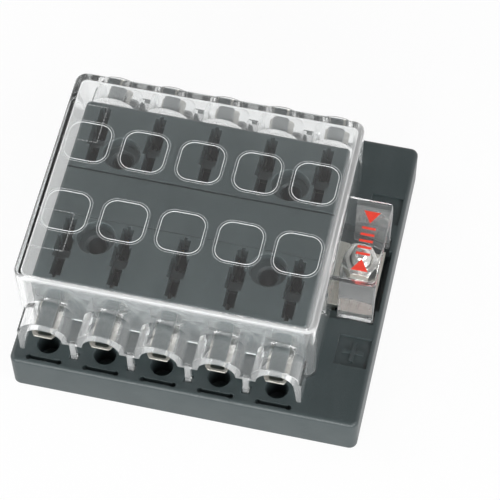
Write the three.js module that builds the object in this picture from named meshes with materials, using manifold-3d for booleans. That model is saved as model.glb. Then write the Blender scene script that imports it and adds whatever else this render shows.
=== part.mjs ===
// Ten-way blade fuse panel: moulded base, clear lift-off cover with a squeeze latch, bus bars,
// fuse jaws, ten quick-connect load tabs and one feed stud. Millimetres, +Z up.
import * as THREE from "three";
import { mergeVertices } from "three/addons/utils/BufferGeometryUtils.js";
import Module from "manifold-3d";

const wasm = await Module();
wasm.setup();

// ---- driving dimensions -------------------------------------------------------------------
const WAYS = 5; // fuse ways in one row; there are two rows
const PITCH = 16; // from one way to the next
const END_ROOM = 9.3; // from an end way to the outside of the clear cover
const SIDE_LIP = 0.2; // base beyond the cover on the blind side
const FEED_WING = 17.4; // how far the base runs past the fuse block's cover on the feed side
const BASE_H = 13; // height of the base's edge
const BASE_CORNER = 2.2; // radius of the base's upright corners
const BASE_EDGE = 1.3; // rounding of the base's top edge
const WALL = 2.2; // moulded wall
const DECK = 2.5; // thickness of the base's top
const FLOOR_T = 2; // thickness of the bottom cover
const BLOCK_H = 17.8; // height of the fuse block above the base
const BLOCK_CAP = 6; // thickness of the fuse block's top
const BLOCK_EDGE = 1.1; // rounding of the fuse block's top edge
const ROW_GAP = 9.5; // from the middle line to the inner ends of a row of fuse seats
const ROW_END = 2.2; // fuse block beyond the outer ends of the fuse seats
const FUSE_L = 18.2; // length of a fuse seat
const FUSE_W = 3.1; // width of a fuse seat at its ends
const FUSE_MID_L = 6.7; // the wider middle of a fuse seat
const FUSE_MID_W = 4.7;
const SEAT_DEPTH = 4.5; // depth of a fuse seat
const SEAT_BRIDGE = 2.9; // bridge between the two blade openings
const BLADE_IN = 2.25; // from a fuse seat's end to the middle of a blade
const SCREW_Y = 14.05; // mounting holes, from the middle line
const SCREW_R = 2.65; // mounting hole radius
const SINK_R = 5.1; // counterbore radius
const SINK_DEPTH = 3.7;
const TAB_W = 6.3; // quick-connect tab
const TAB_T = 0.8;
const TAB_REACH = 12.2; // how far a tab stands out from the fuse block
const TAB_DROP = 2.86; // tab's middle below the underside of the fuse block's top
const HOLE_R = 3; // round clearance hole below each tab
const HOLE_BACK = 3.2; // from a tab's tip back to the hole's middle
const TIE_SLOT_L = 10.1; // slot in front of each tab
const TIE_SLOT_W = 1.1;
const TIE_SLOT_OUT = 1.9; // from a tab's tip out to the slot's middle
const BASE_LIP = 3.9; // base beyond the tabs' tips
const COVER_GAP = 2.8; // between the fuse block and the inside of the cover's long walls
const COVER_ROOM = 7.7; // from the fuse block's top to the top of the lid
const COVER_T = 1.6; // wall of the cover
const LID_T = 2;
const HOOD_R = 5.2; // inside radius of a hood
const HOOD_T = 1.4; // wall of a hood at its foot
const HOOD_RISE = 6.06; // top of a hood above the middle of the tab
const HOOD_SHORT = 0.2; // how far a hood stops behind its tab's tip
const LEDGE_DROP = 1.94; // underside of the ledge between hoods, below the middle of the tab
const LEDGE_T = 1.2;
const GUARD_IN = 1.15; // how far the tongue over a tab stays inside each edge of the tab
const GUARD_T = 1; // thickness of the tongue
const GUARD_GAP = 0.8; // from the tongue up to the inside of the hood
const GUARD_SHORT = 0.6; // how far the tongue stops behind the hood's mouth
const LABEL_W = 13.4; // raised label frame on the lid
const LABEL_R = 4;
const LABEL_Y = 11.5; // from the middle line to a row of labels
const SHROUD_L = 26.2; // stud shroud, along the squeeze direction
const SHROUD_REACH = 12; // how far the shroud stands out from the cover
const SHROUD_TOP = 20.2;
const SHROUD_T = 2;
const ARM_T = 1.8; // squeeze arms
const ARM_W = 10; // width of an arm
const STUD_R = 2.5;
const STUD_TOP = 9.2;
const STUD_OUT = 5.5; // from the cover's side to the stud
const STUD_Y = 3;
const NUT_WALL = 1.5; // from the stud to a flat of the nut
const NUT_H = 4;
const PLATE_T = 1.5; // feed plate
const PLATE_GAP = 1.4; // from a squeeze arm to the plate's edge
const PLATE_TOP = -0.5; // plate's top face against the base's top
const BAR_T = 1.2; // bus bar
const BAR_IN = 4.4; // bus bar's inner edge from the middle line
const BAR_W = 4.8;
const BAR_Z = 2.4; // bus bar's underside above the base's top
const RIVET_IN = 7.1; // from the fuse block's side to the rivets that hold the bus bars
const CLEAR = 0.3; // fit clearance

// ---- sizes that follow --------------------------------------------------------------------
const SPAN = (WAYS - 1) * PITCH;
const COVER_W = SPAN + 2 * END_ROOM;
const BLOCK_W = COVER_W - 2 * COVER_T - 3.2;
const BASE_LEFT = COVER_W / 2 + SIDE_LIP;
const BASE_RIGHT = COVER_W / 2 - 3.2 + FEED_WING;
const SCREW_X = (SPAN - PITCH) / 2; // between the outer pairs of ways
const ROW_Y = ROW_GAP + FUSE_L / 2; // from the middle line to a row of fuses
const BLADE_Y = FUSE_L / 2 - BLADE_IN; // from a fuse's middle to the middle of a blade
const BLOCK_D = 2 * (ROW_Y + FUSE_L / 2 + ROW_END);
const COVER_D = BLOCK_D + 2 * (COVER_GAP + COVER_T);
const COVER_H = BLOCK_H + COVER_ROOM;
const ROOM_TOP = BLOCK_H - BLOCK_CAP;
const TAB_Z = ROOM_TOP - TAB_DROP; // tab's middle height above the base
const TAB_TIP = BLOCK_D / 2 + TAB_REACH; // from the middle line to a tab's tip
const HOLE_Y = TAB_TIP - HOLE_BACK;
const TIE_SLOT_Y = TAB_TIP + TIE_SLOT_OUT;
const BASE_D = 2 * (TAB_TIP + BASE_LIP);
const HOOD_TIP = TAB_TIP - HOOD_SHORT;
const HOOD_TOP = TAB_Z + HOOD_RISE;
const LEDGE_Z = TAB_Z - LEDGE_DROP;
const GUARD_W = TAB_W - 2 * GUARD_IN;
const GUARD_TOP = LEDGE_Z + 0.2 + HOOD_R - GUARD_GAP;
const STUD_X = COVER_W / 2 + STUD_OUT;
const NUT_AF = 2 * (STUD_R + NUT_WALL);
const PLATE_W = SHROUD_L - 2 * (ARM_T + PLATE_GAP);
const RIVET_X = BLOCK_W / 2 - RIVET_IN;
const COLS = Array.from({ length: WAYS }, (_, i) => i * PITCH - SPAN / 2);
const SIDES = [
  ["front", -1],
  ["rear", 1],
];

// ---- helpers ------------------------------------------------------------------------------
// A three.js geometry as a solid, ready to be joined or cut.
function solid(geometry) {
  const g = geometry.clone();
  g.deleteAttribute("normal");
  g.deleteAttribute("uv");
  const m = mergeVertices(g, 1e-4);
  return new wasm.Manifold(
    new wasm.Mesh({
      numProp: 3,
      vertProperties: new Float32Array(m.attributes.position.array),
      triVerts: new Uint32Array(m.index.array),
    }),
  );
}

// A solid as a flat-shaded three.js geometry.
function geometryOf(s) {
  const mesh = s.getMesh();
  const g = new THREE.BufferGeometry();
  const step = mesh.numProp;
  const points = new Float32Array((mesh.vertProperties.length / step) * 3);
  for (let i = 0; i < points.length / 3; i += 1) {
    points[3 * i] = mesh.vertProperties[step * i];
    points[3 * i + 1] = mesh.vertProperties[step * i + 1];
    points[3 * i + 2] = mesh.vertProperties[step * i + 2];
  }
  g.setAttribute("position", new THREE.BufferAttribute(points, 3));
  g.setIndex(Array.from(mesh.triVerts));
  const flat = g.toNonIndexed();
  flat.computeVertexNormals();
  return flat;
}

const join = (list) => list.reduce((a, b) => a.add(b));
const cut = (body, list) => list.reduce((a, b) => a.subtract(b), body);

function box(x0, x1, y0, y1, z0, z1) {
  const g = new THREE.BoxGeometry(Math.abs(x1 - x0), Math.abs(y1 - y0), z1 - z0);
  g.translate((x0 + x1) / 2, (y0 + y1) / 2, (z0 + z1) / 2);
  return solid(g);
}

function shapeOf(points) {
  return new THREE.Shape(points.map(([x, y]) => new THREE.Vector2(x, y)));
}

// Outline in X and Y, drawn up along Z.
function prismZ(points, z0, z1) {
  const g = new THREE.ExtrudeGeometry(shapeOf(points), { depth: z1 - z0, bevelEnabled: false });
  g.translate(0, 0, z0);
  return solid(g);
}

// Outline in X and Z, drawn along Y.
function prismY(points, y0, y1) {
  const [low, high] = [Math.min(y0, y1), Math.max(y0, y1)];
  const g = new THREE.ExtrudeGeometry(shapeOf(points), { depth: high - low, bevelEnabled: false });
  g.rotateX(Math.PI / 2);
  g.translate(0, high, 0);
  return solid(g);
}

// Outline in Y and Z, drawn along X.
function prismX(points, x0, x1) {
  const g = new THREE.ExtrudeGeometry(shapeOf(points), { depth: x1 - x0, bevelEnabled: false });
  g.rotateX(Math.PI / 2);
  g.rotateZ(Math.PI / 2);
  g.translate(x0, 0, 0);
  return solid(g);
}

function cylinder(x, y, r, z0, z1, segments = 32) {
  const g = new THREE.CylinderGeometry(r, r, z1 - z0, segments);
  g.rotateX(Math.PI / 2);
  g.translate(x, y, (z0 + z1) / 2);
  return solid(g);
}

// A turned shape: pairs of radius and height, from the axis back to the axis.
function turned(x, y, profile, segments = 32) {
  const points = profile.map(([r, z]) => new THREE.Vector2(r, z));
  const g = new THREE.LatheGeometry(points, segments);
  g.rotateX(Math.PI / 2);
  g.translate(x, y, 0);
  return solid(g);
}

function roundedRect(w, d, r, segments = 5, cx = 0, cy = 0) {
  const points = [];
  const corners = [
    [w / 2 - r, d / 2 - r, 0],
    [-w / 2 + r, d / 2 - r, 1],
    [-w / 2 + r, -d / 2 + r, 2],
    [w / 2 - r, -d / 2 + r, 3],
  ];
  for (const [x, y, quarter] of corners) {
    for (let i = 0; i <= segments; i += 1) {
      const a = (quarter + i / segments) * (Math.PI / 2);
      points.push([cx + x + r * Math.cos(a), cy + y + r * Math.sin(a)]);
    }
  }
  return points;
}

// A slab with rounded upright corners and a rounded top edge.
function softSlab(w, d, r, edge, z0, z1, cx = 0, cy = 0) {
  const inner = roundedRect(w - 2 * edge, d - 2 * edge, Math.max(r - edge, 0.4), 3, cx, cy);
  const g = new THREE.ExtrudeGeometry(shapeOf(inner), {
    depth: z1 - z0,
    bevelEnabled: true,
    bevelThickness: edge,
    bevelSize: edge,
    bevelSegments: 2,
  });
  g.translate(0, 0, z0 - edge);
  const big = 2 * (w + d);
  return solid(g).subtract(box(-big, big, -big, big, z0 - big, z0));
}

function mirrorY(s) {
  return s.mirror([0, 1, 0]);
}

const plastic = (color, roughness) =>
  new THREE.MeshStandardMaterial({ color, roughness, metalness: 0 });
const metal = (color, roughness) =>
  new THREE.MeshStandardMaterial({ color, roughness, metalness: 1 });
const clear = () =>
  new THREE.MeshStandardMaterial({
    color: 0xdfe6ea,
    roughness: 0.08,
    metalness: 0,
    transparent: true,
    opacity: 0.35,
  });

const panel = new THREE.Group();
panel.name = "fuse_panel";
const inFrame = new THREE.Group();
inFrame.position.set(-(BASE_RIGHT - BASE_LEFT) / 2, 0, BASE_H);
panel.add(inFrame);

function put(name, s, material) {
  const mesh = new THREE.Mesh(geometryOf(s), material);
  mesh.name = name;
  inFrame.add(mesh);
  return mesh;
}

// ---- fuse seat: the opening that a blade fuse drops into ------------------------------------
function fuseSeat(x, y) {
  const top = BLOCK_H + 1;
  const seat = [
    box(x - FUSE_W / 2, x + FUSE_W / 2, y - FUSE_L / 2, y + FUSE_L / 2, BLOCK_H - SEAT_DEPTH, top),
    box(
      x - FUSE_MID_W / 2,
      x + FUSE_MID_W / 2,
      y - FUSE_MID_L / 2,
      y + FUSE_MID_L / 2,
      BLOCK_H - SEAT_DEPTH,
      top,
    ),
    box(x - 0.55, x + 0.55, y - FUSE_L / 2 - 0.8, y + FUSE_L / 2 + 0.8, BLOCK_H - SEAT_DEPTH, top),
  ];
  const blade = (FUSE_L - SEAT_BRIDGE) / 2;
  for (const side of [-1, 1]) {
    const mid = y + (side * (SEAT_BRIDGE + blade)) / 2;
    const low = ROOM_TOP - 1;
    seat.push(box(x - FUSE_W / 2, x + FUSE_W / 2, mid - blade / 2, mid + blade / 2, low, top));
  }
  return join(seat);
}

// ---- base housing ---------------------------------------------------------------------------
const RECESS_Y = SHROUD_L / 2 + 1.2;
const RECESS_X0 = COVER_W / 2 - COVER_T + 0.2;
const RECESS_X1 = COVER_W / 2 + SHROUD_REACH + 0.2;
const DECK_IN = BASE_D / 2 - WALL;
const PLATE_END = RECESS_X1 - 0.8;
const PLATE_STEP_Z = -5; // height of the plate inside the base
const WELL_FLOOR = -7.5;
const HOLE_FLOOR = -BASE_H + FLOOR_T + 3; // bottom of the blind holes below the tabs
const PAD_Y = RECESS_Y + 9.2; // raised plus signs beside the stud recess

function plusPad(y) {
  const x = STUD_X + 3;
  const pad = box(x - 4.5, x + 4.5, y - 4.6, y + 4.6, -0.7, 1);
  const bar = 0.55;
  const plus = join([
    box(x - 3, x + 3, y - bar, y + bar, -1, -0.25),
    box(x - bar, x + bar, y - 3, y + 3, -1, -0.25),
  ]);
  return pad.subtract(plus);
}

// Tongue that stands out from the fuse block above a load tab.
function tabGuard(x, s) {
  const half = GUARD_W / 2;
  const y0 = s * (BLOCK_D / 2 - 0.5);
  const y1 = s * (HOOD_TIP - GUARD_SHORT);
  const bevel = s * 0.6;
  return prismZ([
    [x - half, y0],
    [x + half, y0],
    [x + half, y1 - bevel],
    [x + half - 0.6, y1],
    [x - half + 0.6, y1],
    [x - half, y1 - bevel],
  ], GUARD_TOP - GUARD_T, GUARD_TOP);
}

function tieSlot(x, y) {
  const end = TIE_SLOT_L / 2 - 0.8;
  return join([
    box(x - end, x + end, y - TIE_SLOT_W / 2, y + TIE_SLOT_W / 2, -2, 1),
    cylinder(x - end, y, 0.8, -2, 1, 8),
    cylinder(x + end, y, 0.8, -2, 1, 8),
  ]);
}

function baseHousing() {
  const width = BASE_LEFT + BASE_RIGHT;
  const cx = (BASE_RIGHT - BASE_LEFT) / 2;
  let body = softSlab(width, BASE_D, BASE_CORNER, BASE_EDGE, -BASE_H, 0, cx, 0);
  body = body.subtract(
    box(-BASE_LEFT + WALL, BASE_RIGHT - WALL, -DECK_IN, DECK_IN, -BASE_H - 1, -DECK),
  );
  const block = softSlab(BLOCK_W, BLOCK_D, 1.6, BLOCK_EDGE, -DECK, BLOCK_H);
  body = body.add(block);
  // the room inside the fuse block
  const roomX = BLOCK_W / 2 - WALL;
  const roomY = BLOCK_D / 2 - 1.9;
  body = body.subtract(box(-roomX, roomX, -roomY, roomY, -DECK - 1, ROOM_TOP));
  const add = [];
  // the well below the feed stud
  add.push(
    box(RECESS_X0 - 1.4, BASE_RIGHT - 0.4, -RECESS_Y - 2, RECESS_Y + 2, WELL_FLOOR, -DECK + 0.2),
  );
  // tubes for the four mounting screws
  for (const x of [-SCREW_X, SCREW_X]) {
    for (const y of [-SCREW_Y, SCREW_Y]) {
      add.push(cylinder(x, y, SCREW_R + 1.6, -BASE_H + FLOOR_T, ROOM_TOP + 0.5, 16));
    }
  }
  // closed tubes below the round holes, tongues over the tabs, and posts for the bottom screws
  for (const [, s] of SIDES) {
    for (const x of COLS) {
      add.push(cylinder(x, s * HOLE_Y, HOLE_R + 1.4, HOLE_FLOOR - 1, -DECK + 0.5, 12));
      add.push(tabGuard(x, s));
    }
    for (const x of [-SCREW_X, SCREW_X]) {
      add.push(cylinder(x, s * HOLE_Y, 3, -BASE_H + FLOOR_T, -DECK + 0.5, 12));
    }
  }
  // ribs inside the block, between the ways
  for (const x of [PITCH * 1.5 - SPAN / 2, SPAN / 2 - PITCH * 1.5]) {
    add.push(box(x - 0.8, x + 0.8, -roomY - 0.5, roomY + 0.5, 4.6, ROOM_TOP + 0.5));
  }
  body = join([body, ...add]);
  const away = [];
  for (const [, s] of SIDES) {
    for (const x of COLS) {
      away.push(fuseSeat(x, s * ROW_Y));
      away.push(cylinder(x, s * HOLE_Y, HOLE_R, HOLE_FLOOR, 1, 20));
      away.push(tieSlot(x, s * TIE_SLOT_Y));
      // slit for the load tab
      const w = TAB_W / 2 + CLEAR;
      const z = TAB_T / 2 + CLEAR;
      away.push(
        box(x - w, x + w, s * (roomY - 1), s * (BLOCK_D / 2 + 1), TAB_Z - z, TAB_Z + z),
      );
    }
    for (let i = 0; i < WAYS - 1; i += 1) {
      const x = COLS[i] + PITCH / 2;
      away.push(box(x - 1.2, x + 1.2, s * (HOOD_TIP - 1.8), s * (HOOD_TIP + 0.5), -1.2, 1));
    }
    for (const x of [-SCREW_X, SCREW_X]) {
      away.push(cylinder(x, s * HOLE_Y, 1.15, -BASE_H, -4, 10));
      away.push(cylinder(x, s * SCREW_Y, SINK_R, BLOCK_H - SINK_DEPTH, BLOCK_H + 1, 28));
      away.push(cylinder(x, s * SCREW_Y, SCREW_R, -BASE_H, BLOCK_H, 20));
    }
    away.push(plusPad(s * PAD_Y));
  }
  // the groove across the block between the two rows, and the shallow step beside it
  const half = BLOCK_W / 2 + 1;
  away.push(box(-half, half, 6.6, 7.3, BLOCK_H - 0.8, BLOCK_H + 1));
  away.push(box(-half, half, -8.3, -8.0, BLOCK_H - 0.2, BLOCK_H + 1));
  // the stud recess, the deeper gap beside the plate, and the way in for the plate's leg
  const legX = RECESS_X0 + 0.6;
  const plateY = PLATE_W / 2 + CLEAR;
  const pedestal = box(
    legX + PLATE_T + 1.2,
    PLATE_END,
    -PLATE_W / 2,
    PLATE_W / 2,
    -4,
    PLATE_TOP - PLATE_T,
  );
  const recess = box(RECESS_X0, RECESS_X1, -RECESS_Y, RECESS_Y, -3, 1).subtract(pedestal);
  away.push(recess);
  const gapY = PLATE_W / 2;
  away.push(box(PLATE_END + 0.1, BASE_RIGHT - 1.1, 0.2 - gapY, gapY + 0.1, -5, 1));
  away.push(box(RECESS_X0, legX + PLATE_T + 0.6, -plateY, plateY, WELL_FLOOR - 1, 0));
  away.push(box(RECESS_X0 - 3, legX + PLATE_T + 0.6, -plateY, plateY, WELL_FLOOR - 1, -3.2));
  away.push(cylinder(STUD_X, STUD_Y, STUD_R + 2, PLATE_TOP - PLATE_T - 2.4, 1, 20));
  return cut(body, away);
}

put("base_housing", baseHousing(), plastic(0x3b4042, 0.5));

// ---- bottom cover ---------------------------------------------------------------------------
function bottomCover() {
  const gap = 0.15;
  const x0 = -BASE_LEFT + WALL + gap;
  const x1 = BASE_RIGHT - WALL - gap;
  const y1 = DECK_IN - gap;
  const top = -BASE_H + FLOOR_T;
  let plate = box(x0, x1, -y1, y1, -BASE_H, top);
  for (const [, s] of SIDES) {
    const bar = s * (BAR_IN + BAR_W / 2);
    plate = plate.add(box(-SPAN / 2 - 2, RIVET_X - 4, bar - 0.8, bar + 0.8, top - 0.5, BAR_Z));
    const jaw = s * (ROW_Y + BLADE_Y);
    plate = plate.add(box(-SPAN / 2 - 3, SPAN / 2 + 3, jaw - 0.8, jaw + 0.8, top - 0.5, BAR_Z));
  }
  const away = [];
  for (const x of [-SCREW_X, SCREW_X]) {
    for (const y of [-SCREW_Y, SCREW_Y]) {
      away.push(cylinder(x, y, SCREW_R + 0.25, -BASE_H - 1, top + 1, 20));
    }
    for (const [, s] of SIDES) {
      away.push(
        turned(x, s * HOLE_Y, [
          [0, -BASE_H - 1],
          [2.9, -BASE_H - 1],
          [2.9, -BASE_H + 0.3],
          [1.35, top - 0.2],
          [1.35, top + 1],
          [0, top + 1],
        ], 16),
      );
    }
  }
  return cut(plate, away);
}

put("bottom_cover", bottomCover(), plastic(0x2a2d2f, 0.6));

let screwNumber = 0;
for (const [, s] of SIDES) {
  for (const x of [-SCREW_X, SCREW_X]) {
    screwNumber += 1;
    const low = -BASE_H + 0.3;
    const screw = turned(x, s * HOLE_Y, [
      [0, low],
      [2.6, low],
      [1.05, low + 1.5],
      [1.05, -6.4],
      [0, -5.4],
    ], 12);
    const slot = join([
      box(x - 1.5, x + 1.5, s * HOLE_Y - 0.25, s * HOLE_Y + 0.25, low - 1, low + 0.7),
      box(x - 0.25, x + 0.25, s * HOLE_Y - 1.5, s * HOLE_Y + 1.5, low - 1, low + 0.7),
    ]);
    put(`bottom_screw_${screwNumber}`, screw.subtract(slot), metal(0xb9bcbe, 0.35));
  }
}

// ---- fuse jaws, load tabs and bus bars -------------------------------------------------------
// Two sprung leaves standing on a foot, seen along Y.
function jawProfile(x, z0) {
  const top = ROOM_TOP - 0.5;
  const right = [
    [2.2, z0],
    [2.2, z0 + 2.2],
    [0.85, top - 2.3],
    [1.75, top - 0.1],
    [1.2, top],
    [0.25, top - 2.3],
    [1.6, z0 + 2.1],
    [1.6, z0 + 0.8],
  ];
  const left = right.map(([a, b]) => [-a, b]).reverse();
  return [...right, ...left].map(([a, b]) => [x + a, b]);
}

function loadTerminal(x) {
  const wallIn = -(BLOCK_D / 2 - 1.9) + 0.1;
  const z0 = TAB_Z - TAB_T / 2;
  const z1 = TAB_Z + TAB_T / 2;
  const back = -(ROW_Y + BLADE_Y) + 2.3;
  const strip = prismX([
    [-TAB_TIP, z0 + 0.2],
    [-TAB_TIP + 0.7, z0],
    [wallIn, z0],
    [wallIn, BAR_Z],
    [back, BAR_Z],
    [back, BAR_Z + TAB_T],
    [wallIn + TAB_T, BAR_Z + TAB_T],
    [wallIn + TAB_T, z1],
    [-TAB_TIP + 0.7, z1],
    [-TAB_TIP, z1 - 0.2],
  ], x - TAB_W / 2, x + TAB_W / 2);
  const jaw = prismY(jawProfile(x, BAR_Z), wallIn + 0.4, back);
  const hole = cylinder(x, -TAB_TIP + 3.4, 0.9, z0 - 1, z1 + 1, 10);
  return strip.add(jaw).subtract(hole);
}

function busJaw(x) {
  const z0 = BAR_Z + BAR_T;
  const mid = -(ROW_Y - BLADE_Y);
  const foot = box(x - 2.2, x + 2.2, mid - 2.3, -BAR_IN - 0.5, z0, z0 + 0.8);
  return foot.add(prismY(jawProfile(x, z0), mid - 2.3, mid + 2.3));
}

function busBar() {
  const right = BLOCK_W / 2 - WALL - CLEAR;
  const top = PLATE_STEP_Z + PLATE_T;
  const bar = prismY([
    [-right, BAR_Z],
    [right - BAR_T, BAR_Z],
    [right - BAR_T, top + BAR_T],
    [RIVET_X - 2.6, top + BAR_T],
    [RIVET_X - 2.6, top],
    [right, top],
    [right, BAR_Z + BAR_T],
    [-right, BAR_Z + BAR_T],
  ], -BAR_IN - BAR_W, -BAR_IN);
  const y = -BAR_IN - BAR_W / 2;
  return bar.subtract(cylinder(RIVET_X, y, 1.3, top - 2, top + BAR_T + 1, 12));
}

for (const [side, s] of SIDES) {
  COLS.forEach((x, i) => {
    const turn = s > 0 ? mirrorY : (m) => m;
    put(`load_terminal_${side}_${i + 1}`, turn(loadTerminal(x)), metal(0xc9c4b2, 0.3));
    put(`bus_jaw_${side}_${i + 1}`, turn(busJaw(x)), metal(0xc9c4b2, 0.3));
  });
  const turn = s > 0 ? mirrorY : (m) => m;
  put(`bus_bar_${side}`, turn(busBar()), metal(0xc6a664, 0.35));
  const y = -BAR_IN - BAR_W / 2;
  const low = PLATE_STEP_Z;
  const rivet = turned(RIVET_X, y, [
    [0, low - 0.9],
    [2, low - 0.9],
    [2, low],
    [1.25, low],
    [1.25, low + PLATE_T + BAR_T],
    [2, low + PLATE_T + BAR_T],
    [1.6, low + PLATE_T + BAR_T + 0.7],
    [0, low + PLATE_T + BAR_T + 0.9],
  ], 12);
  put(`bus_rivet_${side}`, turn(rivet), metal(0xb9bcbe, 0.35));
}

// ---- feed plate, stud, washers and nut --------------------------------------------------------
function feedPlate() {
  const legX = RECESS_X0 + 0.6;
  const top = PLATE_TOP;
  const plate = prismY([
    [RIVET_X - 3.4, PLATE_STEP_Z],
    [legX + PLATE_T, PLATE_STEP_Z],
    [legX + PLATE_T, top - PLATE_T],
    [PLATE_END - 0.1, top - PLATE_T],
    [PLATE_END - 0.1, top],
    [legX, top],
    [legX, PLATE_STEP_Z + PLATE_T],
    [RIVET_X - 3.4, PLATE_STEP_Z + PLATE_T],
  ], -PLATE_W / 2 + 0.1, PLATE_W / 2 - 0.1);
  const y = BAR_IN + BAR_W / 2;
  return cut(plate, [
    cylinder(STUD_X, STUD_Y, STUD_R + 0.1, top - 3, top + 1, 20),
    cylinder(RIVET_X, y, 1.3, -6, -2, 12),
    cylinder(RIVET_X, -y, 1.3, -6, -2, 12),
  ]);
}

put("feed_plate", feedPlate(), metal(0xbdbab0, 0.28));

const underPlate = PLATE_TOP - PLATE_T;
put(
  "feed_stud",
  turned(STUD_X, STUD_Y, [
    [0, underPlate - 1.8],
    [STUD_R + 1.6, underPlate - 1.8],
    [STUD_R + 1.6, underPlate],
    [STUD_R, underPlate],
    [STUD_R, STUD_TOP - 1.4],
    [STUD_R - 0.35, STUD_TOP - 0.6],
    [STUD_R - 1.1, STUD_TOP - 0.15],
    [0, STUD_TOP],
  ], 24),
  metal(0xcfccc2, 0.22),
);

function ring(rIn, rOut, z0, z1) {
  return turned(STUD_X, STUD_Y, [
    [0, z0],
    [rOut, z0],
    [rOut, z1],
    [0, z1],
  ], 24).subtract(cylinder(STUD_X, STUD_Y, rIn, z0 - 1, z1 + 1, 24));
}

const washerTop = PLATE_TOP + 1;
const springTop = washerTop + 1.2;
put("flat_washer", ring(STUD_R + 0.15, STUD_R + 2.5, PLATE_TOP, washerTop), metal(0xc8c5bc, 0.3));
put(
  "spring_washer",
  ring(STUD_R + 0.15, STUD_R + 1.8, washerTop, springTop).subtract(
    box(STUD_X + 1, STUD_X + STUD_R + 3.5, STUD_Y - 0.4, STUD_Y + 0.4, washerTop - 1, springTop + 1),
  ),
  metal(0xb9b6ad, 0.35),
);

function hexNut() {
  const r = NUT_AF / 2 / Math.cos(Math.PI / 6);
  const g = new THREE.CylinderGeometry(r, r, NUT_H, 6);
  g.rotateX(Math.PI / 2);
  g.rotateZ(0.12);
  g.translate(STUD_X, STUD_Y, springTop + NUT_H / 2);
  // turned chamfers on both ends
  const chamfer = turned(STUD_X, STUD_Y, [
    [0, springTop],
    [NUT_AF / 2 - 0.05, springTop],
    [r + 0.1, springTop + 0.45],
    [r + 0.1, springTop + NUT_H - 0.45],
    [NUT_AF / 2 - 0.05, springTop + NUT_H],
    [0, springTop + NUT_H],
  ], 24);
  const bore = cylinder(STUD_X, STUD_Y, STUD_R + 0.15, springTop - 1, springTop + NUT_H + 1, 24);
  return solid(g).intersect(chamfer).subtract(bore);
}

put("feed_nut", hexNut(), metal(0xd2cfc6, 0.22));

// ---- clear cover ------------------------------------------------------------------------------
function hoodOuter(x, y0, y1) {
  const half = HOOD_R + HOOD_T;
  const foot = LEDGE_Z + 2.6;
  const points = [[x + half, LEDGE_Z]];
  const steps = 12;
  for (let i = 0; i <= steps; i += 1) {
    const a = (i / steps) * Math.PI;
    points.push([x + half * Math.cos(a), foot + (HOOD_TOP - foot) * Math.sin(a)]);
  }
  points.push([x - half, LEDGE_Z]);
  return prismY(points, y0, y1);
}

function hoodInner(x, y0, y1) {
  const points = [[x + HOOD_R, -1]];
  const steps = 12;
  for (let i = 0; i <= steps; i += 1) {
    const a = (i / steps) * Math.PI;
    points.push([x + HOOD_R * Math.cos(a), LEDGE_Z + 0.2 + HOOD_R * Math.sin(a)]);
  }
  points.push([x - HOOD_R, -1]);
  return prismY(points, y0, y1);
}

function labelFrame(x, y) {
  const outer = roundedRect(LABEL_W, LABEL_W, LABEL_R, 4, x, y);
  const inner = roundedRect(LABEL_W - 1.1, LABEL_W - 1.1, LABEL_R - 0.5, 4, x, y);
  const low = COVER_H - 0.2;
  return prismZ(outer, low, COVER_H + 0.25).subtract(prismZ(inner, low - 1, COVER_H + 1));
}

function clearCover() {
  const half = COVER_W / 2;
  const deep = COVER_D / 2;
  let body = softSlab(COVER_W, COVER_D, 3.2, 1, 0, COVER_H);
  const inside = roundedRect(COVER_W - 2 * COVER_T, COVER_D - 2 * COVER_T, 1.8, 4);
  body = body.subtract(prismZ(inside, -1, COVER_H - LID_T));
  const skirt = SPAN / 2 + HOOD_R;
  const cheek = skirt + 2;
  for (const [, s] of SIDES) {
    // below the ledge the long walls stand open between the two cheeks
    body = body.subtract(
      box(-skirt, skirt, s * (deep - COVER_T - 1), s * (deep + 1), -1, LEDGE_Z),
    );
    const y0 = s * (deep - 0.4);
    const y1 = s * HOOD_TIP;
    const parts = [box(-cheek, cheek, y0, y1, LEDGE_Z, LEDGE_Z + LEDGE_T)];
    for (const x of COLS) {
      parts.push(hoodOuter(x, y0, y1));
    }
    // cheeks run down to the base beside the end hoods, thinner at the foot
    for (const side of [-1, 1]) {
      parts.push(
        prismY([
          [side * skirt, LEDGE_Z + 2.6],
          [side * skirt, LEDGE_Z],
          [side * (cheek - 1.2), 0],
          [side * cheek, 0],
          [side * cheek, LEDGE_Z + 2.6],
        ], y0, y1),
      );
    }
    // pegs from the ledge into the base
    for (let i = 0; i < WAYS - 1; i += 1) {
      const x = COLS[i] + PITCH / 2;
      parts.push(box(x - 0.8, x + 0.8, s * (HOOD_TIP - 1.3), y1, -0.9, LEDGE_Z + 0.5));
    }
    body = join([body, ...parts]);
    for (const x of COLS) {
      body = body.subtract(hoodInner(x, s * (deep - COVER_T - 0.5), s * (HOOD_TIP + 1)));
    }
    for (const x of COLS) {
      body = body.add(labelFrame(x - 0.4, s * LABEL_Y));
    }
  }
  // bridge of the stud shroud
  const x0 = half - COVER_T / 2;
  const x1 = half + SHROUD_REACH;
  const bridge = prismZ(
    roundedRect(x1 - x0, SHROUD_L, 1.2, 3, (x0 + x1) / 2, 0),
    SHROUD_TOP - SHROUD_T,
    SHROUD_TOP,
  );
  const inset = box(-half + COVER_T, half - COVER_T, -deep + 2, deep - 2, 0, COVER_H - LID_T);
  return body.add(bridge.subtract(inset));
}

put("clear_cover", clearCover(), clear());

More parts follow.
